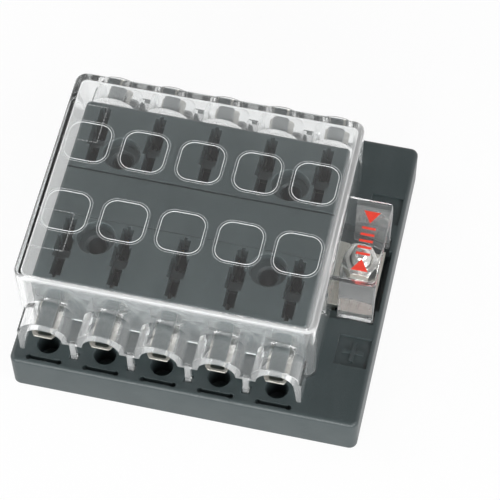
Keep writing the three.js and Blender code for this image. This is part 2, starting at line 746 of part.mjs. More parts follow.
// Squeeze arms of the shroud. Each has a small catch nose near its foot, facing out.
function squeezeArm() {
  const x1 = COVER_W / 2 + SHROUD_REACH;
  const x0 = x1 - ARM_W;
  const y0 = -SHROUD_L / 2;
  const top = SHROUD_TOP - SHROUD_T - CLEAR;
  return prismX([
    [y0, -1.6],
    [y0 + ARM_T - 0.4, -1.6],
    [y0 + ARM_T, 0],
    [y0 + ARM_T, top - 0.5],
    [y0 + ARM_T - 0.5, top],
    [y0 + 0.5, top],
    [y0, top - 0.5],
    [y0, 0.9],
    [y0 - 0.6, 0.1],
    [y0 - 0.6, -0.5],
  ], x0, x1);
}

put("squeeze_arm_front", squeezeArm(), clear());
put("squeeze_arm_rear", mirrorY(squeezeArm()), clear());

export default panel;
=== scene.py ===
"""Blade fuse panel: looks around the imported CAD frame. Metres, Z up."""

from math import cos, hypot, pi, radians, sin, tan

import bmesh
import bpy
from mathutils import Matrix, Vector


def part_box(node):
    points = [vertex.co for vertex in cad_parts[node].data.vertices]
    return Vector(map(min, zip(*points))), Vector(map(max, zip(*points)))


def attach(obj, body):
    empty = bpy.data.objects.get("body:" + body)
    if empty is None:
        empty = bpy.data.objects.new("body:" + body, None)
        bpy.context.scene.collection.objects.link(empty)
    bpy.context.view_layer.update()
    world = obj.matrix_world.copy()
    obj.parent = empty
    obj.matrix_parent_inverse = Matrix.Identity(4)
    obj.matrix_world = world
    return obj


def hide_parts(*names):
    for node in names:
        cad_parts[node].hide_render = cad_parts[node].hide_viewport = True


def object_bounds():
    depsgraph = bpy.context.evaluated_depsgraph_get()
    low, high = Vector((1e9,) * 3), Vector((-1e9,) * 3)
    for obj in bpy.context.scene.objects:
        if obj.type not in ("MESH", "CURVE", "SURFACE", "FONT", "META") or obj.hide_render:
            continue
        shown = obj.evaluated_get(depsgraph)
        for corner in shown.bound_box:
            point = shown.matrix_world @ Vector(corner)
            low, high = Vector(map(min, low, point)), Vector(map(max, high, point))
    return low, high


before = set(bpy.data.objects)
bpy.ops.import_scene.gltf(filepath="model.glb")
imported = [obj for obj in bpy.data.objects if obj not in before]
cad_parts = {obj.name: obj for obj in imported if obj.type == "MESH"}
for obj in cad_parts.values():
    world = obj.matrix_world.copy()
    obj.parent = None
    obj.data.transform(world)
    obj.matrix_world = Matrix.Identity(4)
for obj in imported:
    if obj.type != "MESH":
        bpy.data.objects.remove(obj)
cad_box = [list(v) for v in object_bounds()]
MM = 0.001

# ---- where the part stands ------------------------------------------------------------------
base_lo, base_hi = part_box("base_housing")
way_lo, way_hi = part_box("load_terminal_front_3")
far_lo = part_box("load_terminal_front_5")[0]
stud_lo, stud_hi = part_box("feed_stud")
arm_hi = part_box("squeeze_arm_front")[1]

BLOCK_H = 17.8
ORIGIN = Vector(((way_lo.x + way_hi.x) / 2, 0, base_hi.z - BLOCK_H * MM))
PITCH = (far_lo.x - way_lo.x) / 2 / MM
COLS = [i * PITCH for i in range(-2, 3)]
GAPS = [x + PITCH / 2 for x in COLS[:-1]]
SIDES = (("front", -1), ("rear", 1))
BASE_LEFT = (ORIGIN.x - base_lo.x) / MM
BASE_RIGHT = (base_hi.x - ORIGIN.x) / MM
BASE_D = (base_hi.y - base_lo.y) / MM
BASE_H = (ORIGIN.z - base_lo.z) / MM
STUD_X = ((stud_lo.x + stud_hi.x) / 2 - ORIGIN.x) / MM
STUD_Y = (stud_lo.y + stud_hi.y) / 2 / MM
STUD_TOP = (stud_hi.z - ORIGIN.z) / MM
TAB_TIP = -way_lo.y / MM
TAB_W = (way_hi.x - way_lo.x) / MM
SHROUD_X1 = (arm_hi.x - ORIGIN.x) / MM
SHROUD_L, SHROUD_TOP, BRIDGE_T = 26.2, 20.2, 2.0
COVER_W, COVER_D, COVER_H, COVER_T, LID_T = 82.6, 68.6, 25.5, 1.6, 2.0
HOOD_R, HOOD_T, HOOD_TIP, HOOD_TOP = 5.2, 1.4, TAB_TIP - 0.2, 15.0
LEDGE_Z, LEDGE_T = 7.0, 1.2
HOOD_FOOT = LEDGE_Z + 2.6           # where the hoods' straight feet end
GUARD_W, GUARD_TOP = TAB_W - 2.3, LEDGE_Z + HOOD_R - 0.6
TAB_Z, TAB_T = 8.94, 0.8
ROW_Y, FUSE_L = 18.6, 18.2
BLOCK_W, BLOCK_D, BLOCK_WALL, BLOCK_ROOF = 76.2, 59.8, 1.9, 6.0
ROOM_Y, ROOM_TOP = BLOCK_D / 2 - BLOCK_WALL, BLOCK_H - BLOCK_ROOF
SCREW_X, SCREW_Y = 24, 14.05        # the panel's mounting screws
HOLE_Y = TAB_TIP - 3.2              # the round holes below the tabs
PLATE_TOP, PLATE_T, PLATE_ROOM = -0.5, 1.5, 19.8
cover_x1 = ORIGIN.x + COVER_W / 2 * MM
cover_y0 = ORIGIN.y - COVER_D / 2 * MM
cover_z1 = ORIGIN.z + COVER_H * MM


# ---- mesh helpers (millimetres, from the middle way on the base's top) -------------------------
def to_frame(p):
    return (ORIGIN.x + p[0] * MM, ORIGIN.y + p[1] * MM, ORIGIN.z + p[2] * MM)


def new_object(name, verts, faces):
    mesh = bpy.data.meshes.new(name)
    mesh.from_pydata([to_frame(v) for v in verts], [], faces)
    bm = bmesh.new()
    bm.from_mesh(mesh)
    bmesh.ops.recalc_face_normals(bm, faces=bm.faces)
    bm.to_mesh(mesh)
    bm.free()
    obj = bpy.data.objects.new(name, mesh)
    bpy.context.scene.collection.objects.link(obj)
    return obj


def place(axis, a, b, t):
    return {"z": (a, b, t), "y": (a, t, b), "x": (t, a, b)}[axis]


def loft(name, rings, closed=False):
    """Closed rings of equal length, joined in order, with flat ends unless it closes on itself."""
    n = len(rings[0])
    verts = [p for r in rings for p in r]
    faces = []
    last = len(rings) if closed else len(rings) - 1
    for k in range(last):
        a, b = k * n, (k + 1) % len(rings) * n
        for i in range(n):
            j = (i + 1) % n
            faces.append((a + i, a + j, b + j, b + i))
    if not closed:
        faces.append(tuple(range(n)))
        faces.append(tuple(range((len(rings) - 1) * n, len(rings) * n)))
    return new_object(name, verts, faces)


def area(points):
    return sum(a[0] * b[1] - b[0] * a[1] for a, b in zip(points, points[1:] + points[:1])) / 2


def inset(points, d):
    """The outline moved inwards by d, corner by corner."""
    if d == 0:
        return list(points)
    turn = 1 if area(points) > 0 else -1
    out = []
    n = len(points)
    for i in range(n):
        p, q, r = points[i - 1], points[i], points[(i + 1) % n]
        e1 = Vector((q[0] - p[0], q[1] - p[1])).normalized()
        e2 = Vector((r[0] - q[0], r[1] - q[1])).normalized()
        n1 = Vector((-e1.y, e1.x)) * turn
        n2 = Vector((-e2.y, e2.x)) * turn
        m = n1 + n2
        m = m / max(m.length_squared / 2, 0.35)
        out.append((q[0] + m.x * d, q[1] + m.y * d))
    return out


def prism(points, axis, t0, t1, edge0=0.0, edge1=0.0, steps=3):
    """An outline drawn along an axis, with each end rounded by its own radius."""
    if t0 > t1:
        t0, t1, edge0, edge1 = t1, t0, edge1, edge0
    rings = []
    for k in range(steps + 1 if edge0 else 1):
        a = k / steps * pi / 2
        d, t = (edge0 * (1 - sin(a)), t0 + edge0 * (1 - cos(a))) if edge0 else (0, t0)
        rings.append([place(axis, u, v, t) for u, v in inset(points, d)])
    for k in range(steps + 1 if edge1 else 1):
        a = k / steps * pi / 2
        d, t = (edge1 * (1 - cos(a)), t1 - edge1 * (1 - sin(a))) if edge1 else (0, t1)
        rings.append([place(axis, u, v, t) for u, v in inset(points, d)])
    return loft("prism", rings)


def rounded(w, d, r, seg=8, cx=0.0, cy=0.0):
    """A rectangle's outline with rounded corners."""
    out = []
    for sx, sy, q in ((1, 1, 0), (-1, 1, 1), (-1, -1, 2), (1, -1, 3)):
        for i in range(seg + 1):
            a = (q + i / seg) * pi / 2
            out.append((cx + sx * (w / 2 - r) + r * cos(a), cy + sy * (d / 2 - r) + r * sin(a)))
    return out


def box(x0, x1, y0, y1, z0, z1, edge=0.0):
    x0, x1, y0, y1 = min(x0, x1), max(x0, x1), min(y0, y1), max(y0, y1)
    if edge:
        flat = rounded(x1 - x0, y1 - y0, edge, 3, (x0 + x1) / 2, (y0 + y1) / 2)
        return prism(flat, "z", z0, z1, edge * 0.9, edge * 0.9)
    return prism([(x0, y0), (x1, y0), (x1, y1), (x0, y1)], "z", z0, z1)


def circle(r, seg, cx=0.0, cy=0.0):
    return [(cx + r * cos(2 * pi * i / seg), cy + r * sin(2 * pi * i / seg)) for i in range(seg)]


def post(x, y, r, z0, z1, seg=40, e0=0.0, e1=0.0):
    return prism(circle(r, seg, x, y), "z", z0, z1, e0, e1)


def ring_at(x, y, r, z, seg):
    return [(u, v, z) for u, v in circle(r, seg, x, y)]


def turned(x, y, profile, seg=48):
    """Pairs of radius and height; a zero radius at an end closes it on the axis."""
    return loft("turned", [ring_at(x, y, max(r, 1e-3), z, seg) for r, z in profile])


def apply(obj):
    """Replaces the object's mesh by what its modifiers make of it."""
    graph = bpy.context.evaluated_depsgraph_get()
    mesh = bpy.data.meshes.new_from_object(obj.evaluated_get(graph))
    old = obj.data
    obj.modifiers.clear()
    obj.data = mesh
    bpy.data.meshes.remove(old)
    return obj


def combine(obj, others, how):
    for other in others:
        m = obj.modifiers.new("cut", "BOOLEAN")
        m.operation = how
        m.solver = "MANIFOLD"
        m.object = other
        apply(obj)
        mesh = other.data
        bpy.data.objects.remove(other)
        bpy.data.meshes.remove(mesh)
    return obj


def add(obj, *others):
    return combine(obj, others, "UNION")


def cut(obj, *others):
    return combine(obj, others, "DIFFERENCE")


def mirror_y(obj):
    obj.data.transform(Matrix.Scale(-1, 4, (0, 1, 0)))
    obj.data.flip_normals()
    return obj


def join(name, objs):
    """Separate solids kept in one piece."""
    bm = bmesh.new()
    for o in objs:
        bm.from_mesh(o.data)
        mesh = o.data
        bpy.data.objects.remove(o)
        bpy.data.meshes.remove(mesh)
    mesh = bpy.data.meshes.new(name)
    bm.to_mesh(mesh)
    bm.free()
    obj = bpy.data.objects.new(name, mesh)
    bpy.context.scene.collection.objects.link(obj)
    return obj


def done(obj, name, material, body, replaces=(), angle=32):
    """Cleans the mesh, shades it smooth up to an angle and hangs it on its body."""
    obj.name = name
    obj.data.name = name
    bm = bmesh.new()
    bm.from_mesh(obj.data)
    bmesh.ops.remove_doubles(bm, verts=bm.verts, dist=2e-6)
    bmesh.ops.dissolve_degenerate(bm, edges=bm.edges, dist=1e-6)
    for f in bm.faces:
        f.smooth = True
    for e in bm.edges:
        e.smooth = len(e.link_faces) == 2 and e.calc_face_angle(pi) < radians(angle)
    bm.to_mesh(obj.data)
    bm.free()
    obj.data.materials.clear()
    obj.data.materials.append(material)
    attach(obj, body)
    if replaces:
        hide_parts(*replaces)
    return obj


# ---- materials --------------------------------------------------------------------------------
class Nodes:
    """A new material's nodes, or those of the world that is given."""

    def __init__(self, name, world=None):
        self.owner = world or bpy.data.materials.new(name)
        self.owner.use_nodes = True
        self.tree = self.owner.node_tree
        if not world:
            self.tree.nodes.clear()
            self.out = self.new("ShaderNodeOutputMaterial")

    def new(self, kind, inputs=None, **values):
        """Adds a node; inputs are sockets to link or values to set, and the rest are its settings."""
        node = self.tree.nodes.new(kind)
        for k, v in values.items():
            setattr(node, k, v)
        for k, v in (inputs or {}).items():
            if isinstance(v, bpy.types.NodeSocket):
                self.tree.links.new(v, node.inputs[k])
            else:
                node.inputs[k].default_value = v
        return node

    def math(self, operation, a, b=0.5):
        return self.new("ShaderNodeMath", {0: a, 1: b}, operation=operation).outputs[0]

    def xyz(self, vector):
        return self.new("ShaderNodeSeparateXYZ", {0: vector}).outputs

    def seen(self):
        """1 for what the camera sees, straight or in gloss or glass, and 0 for light on the part."""
        path = self.new("ShaderNodeLightPath").outputs
        either = self.math("MAXIMUM", path["Is Camera Ray"], path["Is Glossy Ray"])
        return self.math("MAXIMUM", either, path["Is Transmission Ray"])

    def coords(self, scale=(1, 1, 1)):
        co = self.new("ShaderNodeTexCoord").outputs["Object"]
        if scale == (1, 1, 1):
            return co
        return self.new("ShaderNodeMapping", {"Vector": co, "Scale": scale}).outputs[0]

    def noise(self, scale, detail=3, rough=0.5, stretch=(1, 1, 1)):
        return self.new(
            "ShaderNodeTexNoise",
            {"Vector": self.coords(stretch), "Scale": scale, "Detail": detail, "Roughness": rough},
        ).outputs[0]

    def span(self, value, lo, hi, a=0.3, b=0.7):
        """A value from a to b becomes lo to hi, and stays between them."""
        return self.new(
            "ShaderNodeMapRange",
            {"Value": value, "From Min": a, "From Max": b, "To Min": lo, "To Max": hi},
        ).outputs[0]

    def blend(self, value, a, b):
        return self.new(
            "ShaderNodeMix", {0: value, 6: (*a, 1), 7: (*b, 1)}, data_type="RGBA"
        ).outputs[2]

    def bump(self, height, strength, distance, under=None):
        inputs = {"Height": height, "Strength": strength, "Distance": distance}
        if under is not None:
            inputs["Normal"] = under
        return self.new("ShaderNodeBump", inputs).outputs[0]

    def finish(self, shader):
        self.tree.links.new(shader, self.out.inputs["Surface"])
        return self.owner


def moulded(name, dark, light, rough_lo, rough_hi, grain=0.02 * MM):
    """Moulded plastic: fine spark-eroded grain, faint flow marks and softened edges."""
    n = Nodes(name)
    cloud = n.noise(90, 4)
    speck = n.noise(5200, 2, 0.7)
    flow = n.noise(160, 3, 0.6, (1, 0.15, 1))
    tone = n.span(n.math("ADD", cloud, flow), 0.0, 1.0, 0.7, 1.3)
    base = n.blend(tone, dark, light)
    fine = n.span(speck, 0.90, 1.10)
    grey = n.new("ShaderNodeCombineColor", {0: fine, 1: fine, 2: fine}).outputs[0]
    colour = n.new(
        "ShaderNodeMix", {0: 1.0, 6: base, 7: grey}, data_type="RGBA", blend_type="MULTIPLY"
    ).outputs[2]
    soft = n.new("ShaderNodeBevel", {"Radius": 0.18 * MM}, samples=4).outputs[0]
    normal = n.bump(n.noise(2600, 3, 0.65), 0.8, grain, soft)
    rough = n.span(speck, rough_lo, rough_hi)
    shader = n.new(
        "ShaderNodeBsdfPrincipled",
        {"Base Color": colour, "Roughness": rough, "Normal": normal, "IOR": 1.5,
         "Specular IOR Level": 0.5},
    )
    return n.finish(shader.outputs[0])


def plated(name, dark, light, rough_lo, rough_hi, stretch=(1, 1, 1)):
    """Plated or plain sheet metal: drawn lines, faint stains and softened edges."""
    n = Nodes(name)
    lines = n.noise(1800, 4, 0.6, stretch)
    stain = n.noise(220, 4, 0.6)
    colour = n.blend(n.span(stain, 0.0, 1.0), dark, light)
    rough = n.span(n.noise(900, 3, 0.6, stretch), rough_lo, rough_hi)
    soft = n.new("ShaderNodeBevel", {"Radius": 0.12 * MM}, samples=4).outputs[0]
    normal = n.bump(lines, 0.5, 0.006 * MM, soft)
    shader = n.new(
        "ShaderNodeBsdfPrincipled",
        {"Base Color": colour, "Metallic": 1.0, "Roughness": rough, "Normal": normal},
    )
    return n.finish(shader.outputs[0])


def clear(name, tint, walls, margins, hoods):
    """Clear polycarbonate with slight moulding waves, which lets the lamps' light through.

    The last three numbers say how clear the upright walls, the lid's margins above the right and
    front walls, and the hoods are, where 1 is glass; below 1 they show white, which is painted
    reflection of the white surroundings on the walls and hoods and a painted highlight along the
    margins.
    """
    n = Nodes(name)
    normal = n.bump(n.noise(70, 2, 0.4), 0.25, 0.01 * MM)
    tone = n.blend(n.span(n.noise(40, 2), 0.0, 1.0), tint, tuple(0.985 * c for c in tint))
    upward = n.xyz(n.new("ShaderNodeTexCoord").outputs["Normal"])[2]
    # upright faces pass less light and show the white base colour: painted reflection of the white
    # surroundings
    glassy = n.span(n.math("ABSOLUTE", upward), walls, 0.996, 0.35, 0.97)
    x, y, z = n.xyz(n.coords())
    # the lid's margins above the right and front walls turn whiter: a painted highlight along those
    # edges
    right = n.span(x, 0, 1, cover_x1 - 3.4 * MM, cover_x1 - 2.0 * MM)
    front = n.span(y, 1, 0, cover_y0 + 0.6 * MM, cover_y0 + 1.4 * MM)
    high = n.span(z, 0, 1, cover_z1 - 1.6 * MM, cover_z1 - 1.0 * MM)
    painted_highlight_margin = n.math("MULTIPLY", n.math("MAXIMUM", right, front), high)
    glassy = n.math("MULTIPLY", glassy, n.span(painted_highlight_margin, 1, margins, 0, 1))
    # the hoods turn whiter too: painted reflection of the white surroundings
    out = n.span(n.math("ABSOLUTE", y), 1, hoods, 0.3 * MM - cover_y0, 0.9 * MM - cover_y0)
    glassy = n.math("MULTIPLY", glassy, out)
    glass = n.new(
        "ShaderNodeBsdfPrincipled",
        {"Base Color": tone, "Roughness": 0.02, "Transmission Weight": glassy, "IOR": 1.56,
         "Normal": normal},
    ).outputs[0]
    through = n.new("ShaderNodeBsdfTransparent", {"Color": (0.93, 0.94, 0.94, 1)}).outputs[0]
    shadow = n.new("ShaderNodeLightPath").outputs["Is Shadow Ray"]
    return n.finish(n.new("ShaderNodeMixShader", {0: shadow, 1: glass, 2: through}).outputs[0])


def frosted(name, colour, share):
    """White haze on the clear plastic, which covers a share of what is behind it; on the cover's
    bottom rim and the hood mouths it is painted light.
    """
    n = Nodes(name)
    tone = n.blend(n.span(n.noise(900, 3), 0.0, 1.0), colour, tuple(0.82 * c for c in colour))
    shader = n.new(
        "ShaderNodeBsdfPrincipled",
        {"Base Color": tone, "Roughness": 0.3, "IOR": 1.5, "Alpha": share,
         "Normal": n.bump(n.noise(3000, 2), 0.4, 0.01 * MM)},
    )
    return n.finish(shader.outputs[0])


def printed(name, colour):
    """Ink printed on the plastic, with slightly uneven cover."""
    n = Nodes(name)
    tone = n.blend(n.span(n.noise(700, 3), 0.0, 1.0), colour, tuple(0.88 * c for c in colour))
    shader = n.new(
        "ShaderNodeBsdfPrincipled",
        {"Base Color": tone, "Roughness": n.span(n.noise(1500, 2), 0.35, 0.5), "IOR": 1.5,
         "Normal": n.bump(n.noise(2500, 2), 0.3, 0.008 * MM)},
    )
    return n.finish(shader.outputs[0])


charcoal = moulded("charcoal_plastic", (0.030, 0.042, 0.044), (0.042, 0.055, 0.057), 0.32, 0.46,
                   0.07 * MM)
underside = moulded("dark_cover_plastic", (0.030, 0.034, 0.037), (0.042, 0.046, 0.049), 0.45, 0.6)
tinned = plated("tinned_brass", (0.60, 0.58, 0.52), (0.78, 0.76, 0.70), 0.07, 0.15, (0.2, 1, 1))
champagne = plated("tinned_plate", (0.60, 0.59, 0.53), (0.74, 0.73, 0.67), 0.24, 0.36, (1, 0.12, 1))
brass = plated("brass_strip", (0.60, 0.42, 0.16), (0.78, 0.58, 0.26), 0.22, 0.4, (0.15, 1, 1))
nickel = plated("nickel_steel", (0.66, 0.66, 0.63), (0.84, 0.83, 0.80), 0.10, 0.2)
zinc = plated("zinc_screw", (0.55, 0.57, 0.58), (0.72, 0.73, 0.73), 0.22, 0.38)
# walls, margins and hoods below 1 show white: painted reflection on walls and hoods, painted
# highlight on the margins
polycarbonate = clear("clear_polycarbonate", (0.98, 0.985, 0.985),
                      walls=0.955, margins=0.70, hoods=0.955)
haze = frosted("frosted_line", (0.95, 0.97, 0.97), 0.62)
faint = frosted("faint_line", (0.85, 0.87, 0.87), 0.30)
# near-opaque white on the cover's bottom rim: painted light standing in for light seen through the
# wall
painted_rim_light = frosted("frosted_rim_painted_light", (0.93, 0.95, 0.95), 0.95)
# white haze on the hood fronts: a painted highlight on the mouths
painted_mouth_highlight = frosted("mouth_painted_highlight", (0.95, 0.97, 0.97), 0.22)
# a darker copy of the tin for metal inside the block: painted shade under the block's roof
jaw_tin_painted_shade = plated("tinned_jaw_painted_shade", (0.13, 0.135, 0.13), (0.22, 0.22, 0.21), 0.38, 0.52)
red = printed("red_print", (0.86, 0.060, 0.035))


# ---- clear cover --------------------------------------------------------------------------------
def arch(x, half, rise, spring, foot, steps=28):
    """Straight legs from the foot to the spring line, with half an ellipse above."""
    out = [(x + half, foot)]
    for i in range(steps + 1):
        a = i / steps * pi
        out.append((x + half * cos(a), spring + rise * sin(a)))
    out.append((x - half, foot))
    return out


def clear_cover():
    deep = COVER_D / 2
    body = prism(rounded(COVER_W, COVER_D, 3.2, 10), "z", 0, COVER_H, 0.35, 0.9, 5)
    cut(body, prism(rounded(COVER_W - 2 * COVER_T, COVER_D - 2 * COVER_T, 1.9, 8), "z", -1,
                    COVER_H - LID_T, 0, 0.5, 4))
    skirt = 2 * PITCH + HOOD_R
    cheek = skirt + 2
    ledge_top = LEDGE_Z + LEDGE_T
    for _, s in SIDES:
        cut(body, box(-skirt, skirt, s * (deep - COVER_T - 1), s * (deep + 1), -1, LEDGE_Z))
        y0, y1 = s * (deep - 0.4), s * HOOD_TIP
        ledge = [(-cheek, LEDGE_Z), (cheek, LEDGE_Z), (cheek, ledge_top), (-cheek, ledge_top)]
        add(body, prism(ledge, "y", min(y0, y1), max(y0, y1), 0, 0.25))
        for x in COLS:
            hood = arch(x, HOOD_R + HOOD_T, HOOD_TOP - HOOD_FOOT, HOOD_FOOT, LEDGE_Z)
            add(body, prism(hood, "y", y0, y1, 0, 0.5, 4))
        for side in (-1, 1):
            outline = [(side * skirt, HOOD_FOOT), (side * skirt, LEDGE_Z), (side * (cheek - 1.2), 0),
                       (side * cheek, 0), (side * cheek, HOOD_FOOT)]
            add(body, prism(outline, "y", y0, y1))
        for x in GAPS:
            add(body, box(x - 0.8, x + 0.8, s * (HOOD_TIP - 1.3), y1, -0.9, LEDGE_Z + 0.5))
        for x in COLS:
            bore = arch(x, HOOD_R, HOOD_R, LEDGE_Z + 0.2, -1.0)
            cut(body, prism(bore, "y", s * (deep - COVER_T - 0.5), s * (HOOD_TIP + 1)))
    x0, x1 = COVER_W / 2 - COVER_T / 2, SHROUD_X1
    bridge = prism(rounded(x1 - x0, SHROUD_L, 1.2, 6, (x0 + x1) / 2, 0), "z",
                   SHROUD_TOP - BRIDGE_T, SHROUD_TOP, 0.2, 0.5, 4)
    cut(bridge, box(-COVER_W, COVER_W / 2 - COVER_T, 2 - deep, deep - 2, 0, COVER_H - LID_T))
    add(body, bridge)
    shell = done(body, "cover_shell", polycarbonate, "cover", ["clear_cover"], 28)
    shell.data.materials.append(painted_rim_light)
    shell.data.materials.append(painted_mouth_highlight)
    # downward faces at the foot get the rim's painted light, and the hood mouths a painted highlight
    for face in shell.data.polygons:
        y = abs(face.center.y - ORIGIN.y) / MM
        z = (face.center.z - ORIGIN.z) / MM
        if face.normal.z < -0.9 and z < LEDGE_Z + 0.1 and y < deep + 0.1:
            face.material_index = 1
        elif abs(face.normal.y) > 0.7 and y > HOOD_TIP - 0.6:
            face.material_index = 2


def sweep_loop(path, section, z0):
    """A small ridge that follows a closed outline; the section is (outwards, up) pairs."""
    rings = []
    n = len(path)
    turn = 1 if area(path) > 0 else -1
    for i in range(n):
        p, q, r = path[i - 1], path[i], path[(i + 1) % n]
        e = Vector((r[0] - p[0], r[1] - p[1])).normalized()
        out = Vector((e.y, -e.x)) * turn
        rings.append([(q[0] + out.x * u, q[1] + out.y * u, z0 + v) for u, v in section])
    return loft("ridge", rings, closed=True)


def label_lines():
    """Two fine ridges round the place of each way's label."""
    ridge = [(-0.11, -0.02), (-0.05, 0.12), (0.05, 0.12), (0.11, -0.02)]
    thin = [(-0.08, -0.02), (-0.03, 0.08), (0.03, 0.08), (0.08, -0.02)]
    width, depth, corner = 12.0, 12.3, 3.5
    inner, outer = [], []
    for _, s in SIDES:
        for x in COLS:
            cx, cy = x - 0.4, s * 11.5
            outline = rounded(width, depth, corner, 8, cx, cy)
            around = rounded(width + 1.3, depth + 1.3, corner + 0.6, 8, cx, cy)
            inner.append(sweep_loop(outline, ridge, COVER_H))
            outer.append(sweep_loop(around, thin, COVER_H))
    done(join("label_rims", outer), "label_rims", faint, "cover", ())
    done(join("label_outlines", inner), "label_outlines", haze, "cover", ())


def dashes(a, b, c, d):
    """A row of low dashes on the lid, along X or along Y."""
    step, half = 1.1, 0.09
    count = int(hypot(c - a, d - b) / step)
    across_x, across_y = (half, 0) if a == c else (0, half)
    out = []
    for k in range(count):
        t0, t1 = (k + 0.12) / count, (k + 0.82) / count
        x0, x1 = sorted((a + (c - a) * t0, a + (c - a) * t1))
        y0, y1 = sorted((b + (d - b) * t0, b + (d - b) * t1))
        out.append(box(x0 - across_x, x1 + across_x, y0 - across_y, y1 + across_y,
                       COVER_H - 0.02, COVER_H + 0.05))
    return out


def guide_marks():
    """Three dashed sides round the left-hand labels."""
    left, right = -40, -29.9
    marks = []
    for y0, y1 in ((11.7, 23.6), (-24.1, -11.9)):
        marks += dashes(left, y1, right, y1) + dashes(left, y0, right, y0)
        marks += dashes(right, y0, right, y1)
    done(join("guide_marks", marks), "guide_marks", faint, "cover", ())


def squeeze_arm(side, s):
    """One arm of the latch, with a catch nose at its foot."""
    y0, t = -SHROUD_L / 2, 1.8
    top = SHROUD_TOP - BRIDGE_T - 0.3
    outline = [(y0, -1.6), (y0 + t - 0.4, -1.6), (y0 + t, 0), (y0 + t, top - 0.5),
               (y0 + t - 0.15, top - 0.15), (y0 + t - 0.5, top), (y0 + 0.5, top),
               (y0 + 0.15, top - 0.15), (y0, top - 0.5), (y0, 0.9), (y0 - 0.6, 0.1), (y0 - 0.6, -0.5)]
    arm = prism(outline, "x", SHROUD_X1 - 10, SHROUD_X1, 0.25, 0.5, 4)
    if s > 0:
        mirror_y(arm)
    done(arm, f"latch_arm_{side}", polycarbonate, f"arm_{side}", [f"squeeze_arm_{side}"])


def press_print():
    """Two arrowheads that point at each other, with plain bars between them."""
    z0, z1 = SHROUD_TOP - 0.01, SHROUD_TOP + 0.06
    x, half, bars = 48.15, 2.3, 5
    pieces = [
        prism([(x - half, 9.2), (x + half, 9.2), (x, 5.4)], "z", z0, z1),
        prism([(x - half, -9.9), (x, -6.1), (x + half, -9.9)], "z", z0, z1),
    ]
    for k in range(bars):
        y = (k - bars // 2) * 2.05 - 0.35
        pieces.append(box(x - 1.9, x + 1.9, y - 0.36, y + 0.36, z0, z1))
    done(join("press_print", pieces), "press_print", red, "cover")


# ---- metal pieces ---------------------------------------------------------------------------------
def threaded_stud():
    """A round head under the feed plate, a helical thread and a dog point."""
    under = PLATE_TOP - PLATE_T
    seg, rows, pitch = 48, 96, 0.8
    z0, z1 = under + 0.05, STUD_TOP - 1.3
    head = [(3.8, under - 1.8), (4.1, under - 1.5), (4.1, under), (2.45, under)]
    point = [(2.2, STUD_TOP - 1.0), (1.8, STUD_TOP - 0.55), (1.2, STUD_TOP - 0.2),
             (0.6, STUD_TOP - 0.05), (0.15, STUD_TOP)]
    thread = []
    for k in range(rows + 1):
        z = z0 + (z1 - z0) * k / rows
        fade = min(1.0, (z1 - z) / 0.8 + 0.15)
        ring = []
        for i in range(seg):
            depth = 0.34 * abs((z / pitch - i / seg) % 1.0 - 0.5) * 2
            r = 2.5 - depth * fade - (1 - fade) * 0.15
            a = 2 * pi * i / seg
            ring.append((STUD_X + r * cos(a), STUD_Y + r * sin(a), z))
        thread.append(ring)
    ends = [[ring_at(STUD_X, STUD_Y, r, z, seg) for r, z in profile] for profile in (head, point)]
    stud = loft("stud", ends[0] + thread + ends[1])
    done(stud, "feed_stud_threaded", nickel, "base", ["feed_stud"], 50)


def about_stud(a, section, lift=0.0):
    """A section's points, given as radius and height, at an angle round the stud."""
    return [(STUD_X + r * cos(a), STUD_Y + r * sin(a), z + lift) for r, z in section]


def flat_washer():
    z, seg = PLATE_TOP, 64
    section = [(2.65, z + 0.1), (2.75, z), (4.85, z), (5.0, z + 0.15), (5.0, z + 0.8),
               (4.85, z + 0.98), (2.75, z + 1.0), (2.65, z + 0.9)]
    rings = [about_stud(2 * pi * i / seg, section) for i in range(seg)]
    done(loft("ring", rings, closed=True), "washer_flat", nickel, "base", ["flat_washer"])


def split_washer():
    """Not quite a full turn, with its ends sprung apart."""
    z, steps, rise = PLATE_TOP + 1.0, 56, 0.27
    section = [(2.7, 0.22), (2.8, 0.16), (4.2, 0.16), (4.3, 0.26), (4.3, 0.92), (4.2, 1.02),
               (2.8, 1.02), (2.7, 0.96)]
    rings = []
    for i in range(steps + 1):
        a = radians(8) + radians(344) * i / steps
        rings.append(about_stud(a, section, z + rise * (i / steps - 0.5)))
    done(loft("spring", rings), "washer_split", zinc, "base", ["spring_washer"])


def hex_nut():
    """A hexagon with its corners rounded off by a turned shape, and a countersunk bore."""
    z0, z1, flat = 1.7, 5.7, 4.0
    corner = flat / cos(pi / 6)
    hexagon = [(STUD_X + corner * cos(0.12 + pi / 3 * i), STUD_Y + corner * sin(0.12 + pi / 3 * i))
               for i in range(6)]
    nut = prism(hexagon, "z", z0, z1)
    dome = [(0, z0), (flat - 0.1, z0), (corner + 0.1, z0 + 0.55), (corner + 0.1, z1 - 0.55),
            (flat - 0.1, z1), (0, z1)]
    combine(nut, [turned(STUD_X, STUD_Y, dome, 64)], "INTERSECT")
    bore = [(0, z0 - 1), (3.3, z0 - 0.35), (2.62, z0 + 0.4), (2.62, z1 - 0.4), (3.2, z1 + 0.2),
            (0, z1 + 1)]
    cut(nut, turned(STUD_X, STUD_Y, bore, 64))
    done(nut, "nut_hex", nickel, "nut", ["feed_nut"], 20)


